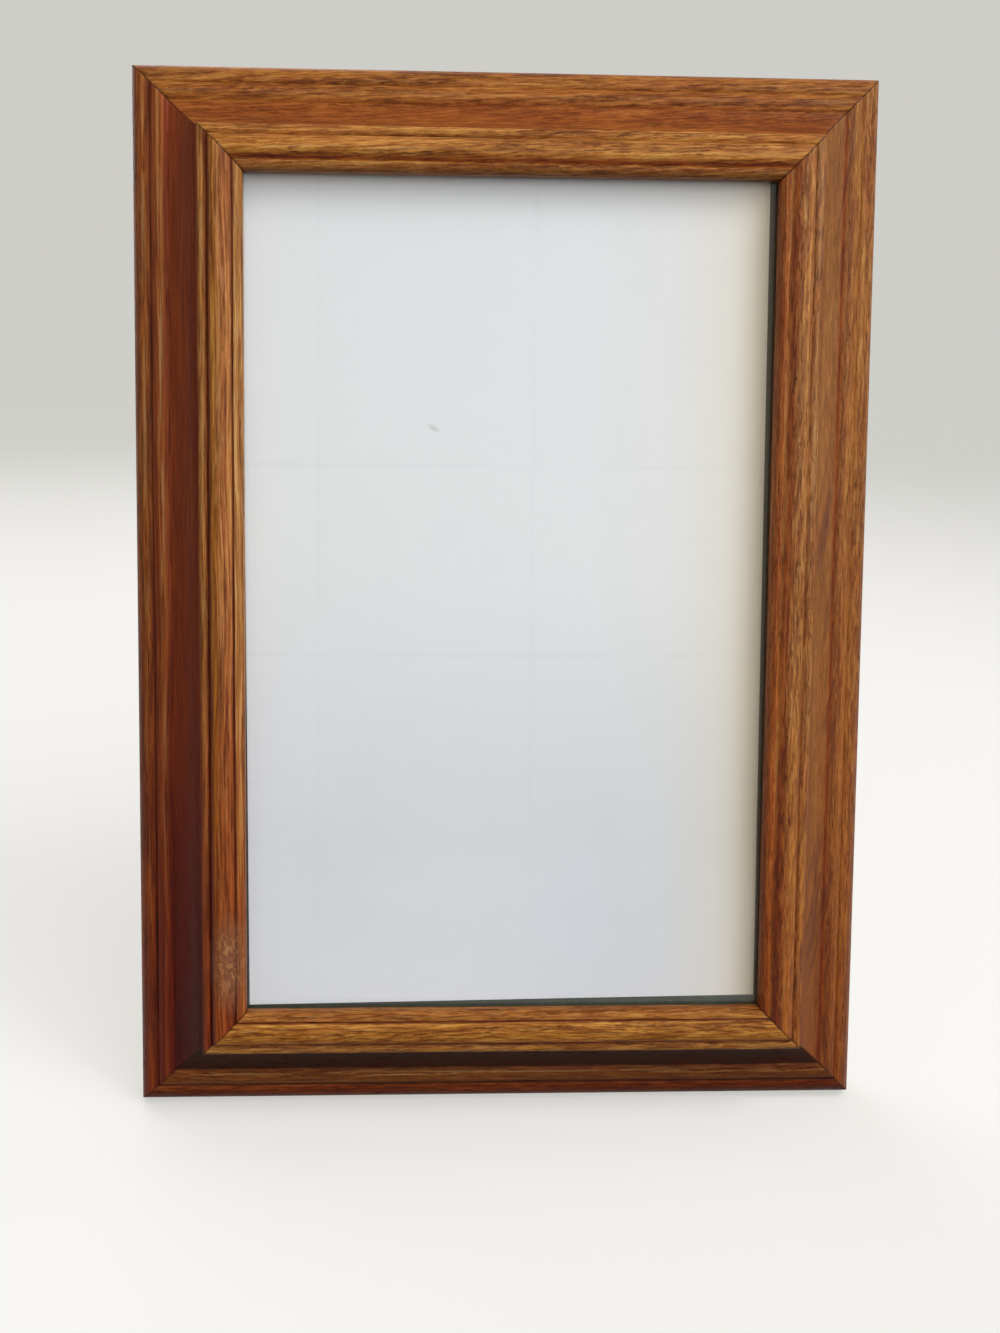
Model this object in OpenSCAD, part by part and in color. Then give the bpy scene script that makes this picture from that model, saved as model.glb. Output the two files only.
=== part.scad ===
// A table picture frame for a 10 x 15 cm picture. Four mitred lengths of a
// reverse moulding hold glass, picture and backing in a rebate. Turn buttons
// keep the back in, and a hinged strut carries the frame at its lean.

/* [Frame] */
// Width of the whole frame
frame_w = 128; // [110:1:240]
// Height of the whole frame, measured along its face
frame_h = 180; // [160:1:300]
// Lean of the standing frame, in degrees
lean = 10; // [8:0.5:12]
// Gap of the glue line across each mitre
glue_gap = 0.04; // [0.02:0.01:0.1]

/* [Moulding section] */
// Height of the plain outer side
side_h = 5; // [4.5:0.1:9]
// Width of the rounded outer lip
lip_w = 3.1; // [2.5:0.1:5]
// Rise of the outer lip
lip_rise = 2.9; // [2:0.1:4]
// Width of the bead beside the lip
bead_w = 3.4; // [1.8:0.1:4]
// Rise of the bead's foot at the cove
bead_rise = 3.6; // [2:0.1:4.5]
// Width of the cove
cove_w = 5.6; // [5:0.1:9]
// Rise of the cove's upper edge
cove_rise = 11.5; // [10:0.1:12.5]
// Width of the ledge above the cove
ledge_w = 1.5; // [1:0.1:3]
// Rise of the ledge's inner side
ledge_rise = 11.9; // [11:0.1:14]
// Width of the steep step up to the crown
step_w = 1; // [0.6:0.1:1.5]
// Rise of the step from the ledge
step_rise = 1.1; // [0.5:0.1:1.6]
// Width of the crown with its step
crown_w = 4.3; // [4:0.1:7]
// Rise of the crown's inner side
crown_rise = 12.7; // [12:0.1:15]
// Width of the rounded sight edge
sight_w = 1.7; // [1:0.1:3]
// Rise of the sight edge at the glass side
sight_rise = 11.1; // [10.5:0.1:12.5]
// Width of the fine grooves between the beads
quirk_w = 0.4; // [0.2:0.05:0.5]
// Depth of the fine grooves
quirk_d = 0.2; // [0.1:0.05:0.7]

/* [Rebate] */
// Width of solid wood outside the rebate
rebate_wall = 12.4; // [11:0.1:15]
// Rise of the glass seat above the outer lip
seat_rise = 9.8; // [8.5:0.1:10.2]
// Clearance around everything laid in the rebate
rebate_fit = 0.5; // [0.3:0.1:1]

/* [Picture stack] */
// Thickness of the glass
glass_t = 2; // [1.5:0.1:3]
// Thickness of the white picture sheet
sheet_t = 0.25; // [0.1:0.05:0.5]
// Thickness of the dark green backing card
card_t = 1.5; // [1:0.1:2.5]
// Thickness of the back panel
panel_t = 3; // [2:0.1:4]
// Depth of the panel's face below the back of the rails
panel_inset = 0.4; // [0.2:0.1:1]
// Space between the layers of the stack
layer_gap = 0.05; // [0.02:0.01:0.2]
// Inset of the sheet's left and top edges from the outer edge
sheet_in = 13.8; // [13:0.1:15]
// Inset of the sheet's right edge at the top
sheet_right_top = 20.6; // [15:0.1:22]
// Inset of the sheet's right edge at the bottom
sheet_right_low = 19.9; // [15:0.1:22]
// Inset of the sheet's bottom edge at the left
sheet_low_left = 19.9; // [15:0.1:22]
// Inset of the sheet's bottom edge at the right
sheet_low_right = 21.2; // [15:0.1:22]

/* [Strut] */
// Angle between the open strut and the back, in degrees
strut_open = 18; // [15:0.5:20]
// Distance of the strut's pin below the frame's upper edge
hinge_down = 68; // [62:1:76]
// Thickness of the strut
strut_t = 3; // [2.4:0.1:4]
// Width of the strut at its hinge
strut_top_w = 16; // [12:0.5:22]
// Width of the strut at its foot
strut_foot_w = 38; // [28:1:44]
// Gap between the folded strut and the bracket
strut_gap = 0.4; // [0.3:0.1:1]
// Gap that is left at the strut's stop
stop_gap = 0.25; // [0.15:0.05:0.3]

/* [Hinge] */
// Sheet thickness of the hinge bracket
bracket_t = 1; // [0.8:0.1:1.4]
// Length of the bracket's plate above the pin
bracket_up = 14; // [11:0.5:18]
// Length of the bracket's plate below the pin
bracket_down = 5; // [4:0.5:8]
// Sheet thickness of the strut leaf
leaf_t = 0.8; // [0.6:0.1:1.2]
// Length of the strut leaf
leaf_len = 22; // [18:0.5:30]
// Radius of the hinge pin
pin_r = 1; // [0.8:0.1:1.4]
// Radial clearance of the hinge pin
pin_fit = 0.05; // [0.02:0.01:0.1]

/* [Turn buttons and hanger] */
// Thickness of a turn button
button_t = 0.9; // [0.7:0.1:1.4]
// Radius of a turn button round its screw
button_r = 3.5; // [3:0.1:4.5]
// Radius of a turn button's tip
tip_r = 2.4; // [2:0.1:3]
// Length of a turn button from its screw to its tip
button_reach = 11; // [9:0.5:13]
// Distance of the side buttons from the ends of their rail
button_end = 45; // [30:1:60]
// Distance of the lower button from the end of its rail
button_low_end = 30; // [24:1:33]
// Radius of the button screws
screw_r = 1.2; // [1:0.1:1.5]
// Length of a button screw in the wood
screw_len = 6; // [4.5:0.1:6.5]
// Distance of the hanging ring's bar below the frame's upper edge
hanger_down = 34; // [32:1:38]
// Radius of the hanging ring, to the middle of its wire
ring_r = 6; // [5:0.1:8]
// Straight length at each side of the hanging ring
ring_side = 6; // [4:0.1:8]
// Radius of the hanging ring's wire
wire_r = 0.8; // [0.6:0.1:1]

/* [Hidden] */
$fn = 48;

// Overrun of every cut past the faces that it opens
over = 1;

// Bulges of the moulding's rounds, as shares of the width that they span
lip_bulge_share = 0.2;
bead_bulge_share = 0.16;
cove_sag_share = 0.17;
ledge_bulge_share = 0.14;
step_bulge_share = 0.12;
crown_bulge_share = 0.14;
sight_bulge_share = 0.22;
// Place of a groove's floor, from its middle inward, as a share of its width
floor_share = 0.35;
// Straight steps in one round
round_steps = 10;

// Places that follow the frame's size
hinge_z = frame_h - hinge_down;
hanger_z = frame_h - hanger_down;
button_spread = frame_h / 2 - button_end;
button_aside = frame_w / 2 - button_low_end;

rail_w = lip_w + bead_w + cove_w + ledge_w + crown_w + sight_w;
seat_h = side_h + seat_rise;

// Corner nails: a V of thin strip, pressed in from the back
nail_in = rebate_wall / 2;
nail_leg = 3;
nail_t = 0.4;
nail_h = 5;
nail_fit = 0.02;
nail_spread = 35;
nail_sink = 0.1;

// Plate fixed by a screw on the middle of the solid wood
screw_in = rebate_wall / 2;
screw_fit = 0.03;
screw_head_r = 2.4;
screw_head_h = 1.5;
screw_tip = 1.6;
screw_slot_w = 0.6;
screw_slot_l = 2.8;
screw_slot_d = 0.8;
head_bulge_share = 0.16;
button_fit = 0.08;
face_gap = 0.2;

// Rivets, their clinched ends and the dimples that these press into the pad
rivet_r = 1.2;
rivet_fit = 0.03;
rivet_head_r = 2.2;
rivet_head_h = 0.9;
clinch_r = 1.9;
clinch_h = 0.5;
dimple_gap = 0.35;

// Stack, measured forward from the back of the rails
opening_w = frame_w - 2 * (rebate_wall + rebate_fit);
opening_h = frame_h - 2 * (rebate_wall + rebate_fit);
glass_y = -seat_h;
sheet_y = glass_y + glass_t + layer_gap;
card_y = sheet_y + sheet_t + layer_gap;
pad_y = card_y + card_t + layer_gap;
panel_y = -panel_inset - panel_t;
pad_t = panel_y - layer_gap - pad_y;
panel_corner_r = 1.5;
card_corner_r = 0.5;

// Hinge: everything hangs from the pin
knuckle_r = pin_r + pin_fit + leaf_t;
pin_out = bracket_t + strut_gap + strut_t + knuckle_r;
pin_y = pin_out - panel_inset;
ear_gap = 0.2;
ear_r = 3;
knuckle_len = strut_top_w + 0.8 * bracket_t;
ear_x = knuckle_len / 2 + ear_gap;
bracket_w = 2 * (ear_x + bracket_t);
bracket_corner_r = 3;
bracket_rivet_up = 8.5;
bracket_rivet_x = 5;
leaf_corner_r = 3;
strut_rivet_shares = [0.36, 0.78];
pin_head_r = 1.6;
pin_head_h = 0.7;

// Strut: its heel stops on the bracket, and its foot is cut to the table
swing = strut_open - lean;
strut_in = knuckle_r + strut_t;
heel = (pin_out - bracket_t - stop_gap - strut_in * cos(strut_open)) / sin(strut_open);
pin_h = hinge_z * cos(lean) - pin_y * sin(lean);
strut_len = pin_h / cos(swing);
neck_len = 30;
flare_steps = 12;

// Hanger: a strap with a rolled eye, held by one rivet below the eye
eye_fit = 0.08;
strap_t = 0.8;
strap_w = 7;
strap_len = 11;
strap_rivet_down = 6.5;
eye_r = wire_r + eye_fit + strap_t;
strap_corner_r = 2;
hanger_y = eye_r - panel_inset;

// Section of the moulding: first number inward from the outer edge, second
// forward from the back
s1 = lip_w;
s2 = s1 + bead_w;
s3 = s2 + cove_w;
s4 = s3 + ledge_w;
s5 = s4 + crown_w;
step_h = side_h + ledge_rise + step_rise;
section = concat(
    [[0, 0]],
    bow([0, side_h], [s1 - quirk_w / 2, side_h + lip_rise], lip_bulge_share),
    [[s1 + floor_share * quirk_w, side_h + lip_rise - quirk_d]],
    bow([s1 + quirk_w / 2, side_h + lip_rise], [s2, side_h + bead_rise], bead_bulge_share),
    bow([s2, side_h + bead_rise], [s3, side_h + cove_rise], -cove_sag_share),
    bow([s3, side_h + cove_rise], [s4 - quirk_w / 2, side_h + ledge_rise], ledge_bulge_share),
    [[s4 + floor_share * quirk_w, side_h + ledge_rise - quirk_d]],
    bow([s4 + quirk_w / 2, side_h + ledge_rise], [s4 + step_w, step_h], step_bulge_share),
    bow([s4 + step_w, step_h], [s5 - quirk_w / 2, side_h + crown_rise], crown_bulge_share),
    [[s5 + floor_share * quirk_w, side_h + crown_rise - quirk_d]],
    bow([s5 + quirk_w / 2, side_h + crown_rise], [rail_w, side_h + sight_rise],
        sight_bulge_share),
    [[rail_w, seat_h], [rebate_wall, seat_h], [rebate_wall, 0]]
);

// The origin lies under the middle of the standing frame
front_y = min([for (p = section) p[0] * sin(lean) - p[1] * cos(lean)]);
foot_y = pin_y * cos(lean) + hinge_z * sin(lean)
    - knuckle_r * cos(swing) + strut_len * sin(swing);
mid_y = (front_y + foot_y) / 2;

// Points of a round stretch from p to q. Its bulge, to the left of the way
// from p to q, is a share of the distance; a negative share hollows it
function bow(p, q, share) =
    let (
        way = q - p,
        span = norm(way),
        rise = abs(share) * span,
        radius = (span * span / 4 + rise * rise) / (2 * rise),
        left = [-way[1], way[0]] / span,
        middle = (p + q) / 2 - left * sign(share) * (radius - rise),
        start = atan2(p[1] - middle[1], p[0] - middle[0]),
        turn = -sign(share) * 2 * asin(span / (2 * radius))
    )
    [for (i = [0:round_steps])
        middle + radius * [cos(start + turn * i / round_steps), sin(start + turn * i / round_steps)]];

// Stands the frame up, leaning back on its lower rear edge
module stand() {
    translate([0, -mid_y, 0]) rotate([-lean, 0, 0]) children();
}

// Carries what is drawn on the bottom rail to another edge of the frame
module on_edge(side) {
    if (side == "bottom") children();
    if (side == "right") translate([frame_w / 2, 0, frame_h / 2]) rotate([0, -90, 0]) children();
    if (side == "left") translate([-frame_w / 2, 0, frame_h / 2]) rotate([0, 90, 0]) children();
    if (side == "top") translate([0, 0, frame_h]) rotate([0, 180, 0]) children();
}

// Swings the strut's parts about the pin, from hanging straight down
module on_pin() {
    stand() translate([0, pin_y, hinge_z]) rotate([strut_open, 0, 0]) children();
}

// Flat outline in width and height, given a thickness towards the back
module sheet_metal(t) {
    translate([0, t, 0]) rotate([90, 0, 0]) linear_extrude(t) children();
}

// Plate with round corners, centred across and starting at its lower edge
module round_plate(w, h, r) {
    translate([0, h / 2]) {
        square([w - 2 * r, h], center = true);
        square([w, h - 2 * r], center = true);
        for (x = [-1, 1], y = [-1, 1])
            translate([x * (w / 2 - r), y * (h / 2 - r)]) circle(r);
    }
}

// Cylinder along the depth, from the face y forward by a length
module forward(r, length) {
    rotate([90, 0, 0]) cylinder(h = length, r = r);
}

module nail_outline(grow) {
    for (side = [-1, 1])
        rotate(side * nail_spread)
            translate([-nail_t / 2 - grow, -nail_t / 2 - grow])
                square([nail_leg + 2 * grow, nail_t + 2 * grow]);
}

// Length of moulding on the bottom edge, mitred, with its screw pilots
module rail(length, pilots) {
    color("sienna")
    difference() {
        intersection() {
            rotate([0, -90, 180]) linear_extrude(length, center = true) polygon(section);
            translate([0, over, 0]) rotate([90, 0, 0])
                linear_extrude(side_h + crown_rise + crown_w + over)
                    polygon([
                        [glue_gap - length / 2, 0],
                        [length / 2 - glue_gap, 0],
                        [length / 2 - rail_w - glue_gap, rail_w],
                        [rail_w + glue_gap - length / 2, rail_w]
                    ]);
        }
        for (end = [0, 1]) mirror([end, 0, 0])
            translate([nail_in - length / 2, over, nail_in]) rotate([90, 0, 0])
                linear_extrude(nail_h + nail_sink + nail_fit + over)
                    rotate(45) nail_outline(nail_fit);
        for (x = pilots)
            translate([x, over, screw_in]) forward(screw_r + screw_fit, screw_len + screw_tip / 2 + over);
    }
}

module bottom_rail() {
    stand() on_edge("bottom") rail(frame_w, [button_aside]);
}

module top_rail() {
    stand() on_edge("top") rail(frame_w, [0]);
}

module left_rail() {
    stand() on_edge("left") rail(frame_h, [-button_spread, button_spread]);
}

module right_rail() {
    stand() on_edge("right") rail(frame_h, [-button_spread, button_spread]);
}

module corner_nails() {
    color("silver")
    stand()
        for (x = [0, 1], z = [0, 1])
            translate([0, -nail_sink, frame_h / 2]) mirror([x, 0, 0]) mirror([0, 0, z])
                translate([nail_in - frame_w / 2, 0, nail_in - frame_h / 2]) rotate([90, 0, 0])
                    linear_extrude(nail_h) rotate(45) nail_outline(0);
}

// One layer of the stack, filling the rebate
module layer(y, t, r) {
    translate([0, y, rebate_wall + rebate_fit])
        sheet_metal(t) round_plate(opening_w, opening_h, r);
}

module glass_pane() {
    color("lightcyan", 0.4) stand() layer(glass_y, glass_t, card_corner_r);
}

module picture_sheet() {
    color("white")
    stand() translate([0, sheet_y, 0]) sheet_metal(sheet_t)
        polygon([
            [sheet_in - frame_w / 2, sheet_low_left],
            [frame_w / 2 - sheet_right_low, sheet_low_right],
            [frame_w / 2 - sheet_right_top, frame_h - sheet_in],
            [sheet_in - frame_w / 2, frame_h - sheet_in]
        ]);
}

module backing_card() {
    color("darkslategray") stand() layer(card_y, card_t, card_corner_r);
}

// Places a rivet's axis on the panel: two for the bracket, one for the strap
module at_bracket_rivets() {
    for (side = [-1, 1])
        translate([side * bracket_rivet_x, -panel_inset, hinge_z + bracket_rivet_up]) children();
}

module at_hanger_rivet() {
    translate([0, -panel_inset, hanger_z - strap_rivet_down]) children();
}

module filler_pad() {
    color("tan")
    stand() difference() {
        layer(pad_y, pad_t, card_corner_r);
        at_bracket_rivets() pad_dimple();
        at_hanger_rivet() pad_dimple();
    }
}

module pad_dimple() {
    forward(clinch_r + dimple_gap, panel_t + layer_gap + clinch_h + dimple_gap);
}

module back_panel() {
    color("saddlebrown")
    stand() difference() {
        layer(panel_y, panel_t, panel_corner_r);
        at_bracket_rivets() panel_hole();
        at_hanger_rivet() panel_hole();
    }
}

module panel_hole() {
    translate([0, over, 0]) forward(rivet_r + rivet_fit, panel_t + 2 * over);
}

// Rivet through a stack of a given thickness: domed head behind the face at
// zero, clinched end in front
module rivet(plate_t, hold) {
    color("darkgoldenrod")
    rotate([90, 0, 0]) rotate_extrude()
        polygon(concat(
            [[0, -plate_t - rivet_head_h], [rivet_head_r / 2, -plate_t - rivet_head_h]],
            [[rivet_head_r, -plate_t - rivet_head_h / 3], [rivet_head_r, -plate_t]],
            [[rivet_r, -plate_t], [rivet_r, hold], [clinch_r, hold]],
            [[clinch_r, hold + clinch_h / 2], [clinch_r - clinch_h / 2, hold + clinch_h]],
            [[0, hold + clinch_h]]
        ));
}

module bracket_rivets() {
    stand() at_bracket_rivets() rivet(bracket_t, panel_t);
}

module hanger_rivet() {
    stand() at_hanger_rivet() rivet(strap_t, panel_t);
}

// Pressed plate with two ears that stand out from it and hold the pin
module hinge_bracket() {
    color("goldenrod")
    stand() translate([0, -panel_inset, hinge_z]) difference() {
        union() {
            translate([0, 0, -bracket_down]) sheet_metal(bracket_t)
                round_plate(bracket_w, bracket_down + bracket_up, bracket_corner_r);
            for (side = [0, 1]) mirror([side, 0, 0])
                translate([ear_x, 0, 0]) ear();
        }
        translate([-bracket_w, pin_out, 0]) rotate([0, 90, 0])
            cylinder(h = 2 * bracket_w, r = pin_r + pin_fit);
        for (side = [-1, 1])
            translate([side * bracket_rivet_x, bracket_t + over, bracket_rivet_up])
                forward(rivet_r + rivet_fit, bracket_t + 2 * over);
    }
}

module ear() {
    rotate([90, 0, 90]) linear_extrude(bracket_t) {
        translate([0, -ear_r]) square([pin_out, 2 * ear_r]);
        translate([pin_out, 0]) circle(ear_r);
    }
}

module hinge_pin() {
    color("silver")
    stand() translate([0, pin_y, hinge_z]) rotate([0, 90, 0]) {
        cylinder(h = bracket_w + 2 * pin_fit, r = pin_r, center = true);
        for (side = [0, 1]) mirror([0, 0, side])
            translate([0, 0, bracket_w / 2 + pin_fit])
                cylinder(h = pin_head_h, r1 = pin_head_r, r2 = pin_r);
    }
}

// Width of the strut at a distance below the pin
function strut_w(down) =
    let (t = max(0, min(1, (down - neck_len) / (strut_len - 2 * neck_len))))
    strut_top_w + (strut_foot_w - strut_top_w) * (1 - cos(180 * t)) / 2;

module strut() {
    down = [for (i = [0:flare_steps]) neck_len + (strut_len - neck_len) * i / flare_steps];
    outline = concat(
        [[strut_top_w / 2, heel]],
        [for (d = down) [strut_w(d) / 2, -d - (d == down[flare_steps] ? over : 0)]]
    );
    color("saddlebrown")
    on_pin() difference() {
        translate([0, -strut_in, 0]) sheet_metal(strut_t)
            polygon(concat(outline, [for (i = [len(outline) - 1:-1:0]) [-outline[i][0], outline[i][1]]]));
        rotate([-swing, 0, 0])
            translate([-strut_foot_w, -strut_len, -pin_h - strut_len])
                cube([2 * strut_foot_w, 2 * strut_len, strut_len]);
        at_strut_rivets() translate([0, over - knuckle_r, 0])
            forward(rivet_r + rivet_fit, strut_t + 2 * over);
    }
}

module at_strut_rivets() {
    for (share = strut_rivet_shares) translate([0, 0, -share * leaf_len]) children();
}

// Plate on the rear of the strut, rolled into a knuckle round the pin
module strut_leaf() {
    color("goldenrod")
    on_pin() difference() {
        union() {
            translate([0, -knuckle_r, -leaf_len]) sheet_metal(leaf_t) {
                round_plate(strut_top_w, leaf_len, leaf_corner_r);
                translate([-strut_top_w / 2, leaf_len / 2])
                    square([strut_top_w, leaf_len / 2]);
            }
            rotate([0, 90, 0]) cylinder(h = knuckle_len, r = knuckle_r, center = true);
        }
        rotate([0, 90, 0]) cylinder(h = 2 * knuckle_len, r = pin_r + pin_fit, center = true);
        at_strut_rivets() translate([0, leaf_t + over - knuckle_r, 0])
            forward(rivet_r + rivet_fit, leaf_t + 2 * over);
    }
}

module strut_rivets() {
    on_pin() at_strut_rivets() translate([0, -knuckle_r, 0]) rivet(leaf_t, strut_t);
}

// Strap on the panel with a rolled eye at its upper end
module hanger_strap() {
    color("goldenrod")
    stand() translate([0, -panel_inset, hanger_z]) difference() {
        union() {
            translate([0, 0, -strap_len]) sheet_metal(strap_t) {
                round_plate(strap_w, strap_len, strap_corner_r);
                translate([-strap_w / 2, strap_len / 2]) square([strap_w, strap_len / 2]);
            }
            translate([0, eye_r, 0]) rotate([0, 90, 0])
                cylinder(h = strap_w, r = eye_r, center = true);
        }
        translate([0, eye_r, 0]) rotate([0, 90, 0])
            cylinder(h = 2 * strap_w, r = wire_r + eye_fit, center = true);
        translate([0, strap_t + over, -strap_rivet_down])
            forward(rivet_r + rivet_fit, strap_t + 2 * over);
    }
}

// Ring with a straight bar in the eye, hanging straight down from it
module hanging_ring() {
    color("gold")
    stand() translate([0, hanger_y, hanger_z]) rotate([lean, 0, 0]) {
        rotate([0, 90, 0]) cylinder(h = 2 * ring_r, r = wire_r, center = true);
        for (side = [-1, 1]) translate([side * ring_r, 0, 0]) {
            sphere(wire_r);
            translate([0, 0, -ring_side]) cylinder(h = ring_side, r = wire_r);
        }
        translate([0, 0, -ring_side]) rotate([90, 0, 0]) rotate([0, 0, 180])
            rotate_extrude(angle = 180) translate([ring_r, 0]) circle(wire_r);
    }
}

// Places a button's screw axis on the back of its rail
module at_button(side, along) {
    stand() on_edge(side) translate([along, 0, screw_in]) children();
}

// Tapered plate that turns on its screw and reaches over the back panel
module turn_button(side, along) {
    reach = button_reach - tip_r;
    slope = asin((button_r - tip_r) / reach);
    color("goldenrod")
    at_button(side, along) translate([0, face_gap, 0]) sheet_metal(button_t) difference() {
        union() {
            circle(button_r);
            translate([0, reach]) circle(tip_r);
            polygon([
                [button_r * cos(slope), button_r * sin(slope)],
                [tip_r * cos(slope), reach + tip_r * sin(slope)],
                [-tip_r * cos(slope), reach + tip_r * sin(slope)],
                [-button_r * cos(slope), button_r * sin(slope)]
            ]);
        }
        circle(screw_r + button_fit);
    }
}

module turn_button_left_low() {
    turn_button("left", button_spread);
}

module turn_button_left_high() {
    turn_button("left", -button_spread);
}

module turn_button_right_low() {
    turn_button("right", -button_spread);
}

module turn_button_right_high() {
    turn_button("right", button_spread);
}

module turn_button_top() {
    turn_button("top", 0);
}

module turn_button_bottom() {
    turn_button("bottom", button_aside);
}

// Screw with a domed, cross-slotted head clear of the button that it holds
module button_screw() {
    under = button_t + 2 * face_gap;
    color("silver")
    rotate([90, 0, 0]) difference() {
        rotate_extrude()
            polygon(concat(
                [[0, screw_len], [screw_r, screw_len - screw_tip], [screw_r, -under]],
                [[screw_head_r, -under]],
                bow([screw_head_r, -under - screw_head_h / 2], [0, -under - screw_head_h],
                    head_bulge_share)
            ));
        for (turn = [0, 90]) rotate(turn)
            translate([-screw_slot_l / 2, -screw_slot_w / 2, -under - screw_head_h - over])
                cube([screw_slot_l, screw_slot_w, screw_slot_d + over]);
    }
}

module button_screws() {
    for (along = [-button_spread, button_spread]) {
        at_button("left", along) button_screw();
        at_button("right", along) button_screw();
    }
    at_button("top", 0) button_screw();
    at_button("bottom", button_aside) button_screw();
}

bottom_rail();
top_rail();
left_rail();
right_rail();
corner_nails();
glass_pane();
picture_sheet();
backing_card();
filler_pad();
back_panel();
hinge_bracket();
bracket_rivets();
hinge_pin();
strut();
strut_leaf();
strut_rivets();
hanger_strap();
hanger_rivet();
hanging_ring();
button_screws();
turn_button_left_low();
turn_button_left_high();
turn_button_right_low();
turn_button_right_high();
turn_button_top();
turn_button_bottom();
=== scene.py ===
from itertools import accumulate
from math import asin, atan2, cos, exp, pi, radians, sin

import bmesh
import bpy
from mathutils import Matrix, Vector


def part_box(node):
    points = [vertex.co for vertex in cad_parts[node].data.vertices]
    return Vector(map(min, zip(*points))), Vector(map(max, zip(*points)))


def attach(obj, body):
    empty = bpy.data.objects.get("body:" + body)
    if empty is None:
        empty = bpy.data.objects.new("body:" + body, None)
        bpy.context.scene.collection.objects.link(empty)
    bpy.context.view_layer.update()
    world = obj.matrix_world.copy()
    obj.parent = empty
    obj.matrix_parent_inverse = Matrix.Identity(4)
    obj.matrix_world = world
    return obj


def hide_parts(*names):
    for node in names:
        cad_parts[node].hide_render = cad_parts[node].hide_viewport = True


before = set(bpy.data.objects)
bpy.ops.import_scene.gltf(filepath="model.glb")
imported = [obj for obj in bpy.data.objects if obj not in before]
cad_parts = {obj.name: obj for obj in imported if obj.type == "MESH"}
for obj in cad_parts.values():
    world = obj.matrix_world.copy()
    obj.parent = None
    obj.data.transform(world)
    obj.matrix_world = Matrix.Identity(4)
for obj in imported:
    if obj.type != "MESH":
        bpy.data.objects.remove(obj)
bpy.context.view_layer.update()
scene = bpy.context.scene
mm = 0.001
toMillimetres = (1000, 1000, 1000)
print("frame loaded,", len(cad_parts), "nodes")

# camera, where the photograph was taken from
photoView = {
    "place": (-0.02088, -0.24827, 0.14979),
    "turn": (75.0466, -0.8662, -2.4284),
    "lens": 39.05,
    "shift": (0.0375, -0.0274),
}
cameraData = bpy.data.cameras.new("photoCamera")
cameraData.lens = photoView["lens"]
cameraData.shift_x, cameraData.shift_y = photoView["shift"]
cameraData.clip_start = 0.01
camera = bpy.data.objects.new("photoCamera", cameraData)
camera.location = photoView["place"]
camera.rotation_euler = [radians(a) for a in photoView["turn"]]
scene.collection.objects.link(camera)
scene.camera = camera

# the picture frame as it was drawn: x across, y to the back, z up along its face
frameSize = {"width": 128, "height": 180, "lean": 10, "pin": (5.85, 112)}
leanAngle = radians(frameSize["lean"])
pinLow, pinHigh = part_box("hinge_pin")
pinMiddle = (pinLow + pinHigh) / 2
pinY, pinZ = frameSize["pin"]
setBack = (pinY * cos(leanAngle) + pinZ * sin(leanAngle)) * mm - pinMiddle.y
stand = Matrix.Translation((0, -setBack, 0)) @ Matrix.Rotation(-leanAngle, 4, "X")
strutOpen = radians(18)
onPin = Matrix.Translation(pinMiddle) @ Matrix.Rotation(strutOpen - leanAngle, 4, "X")


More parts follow.
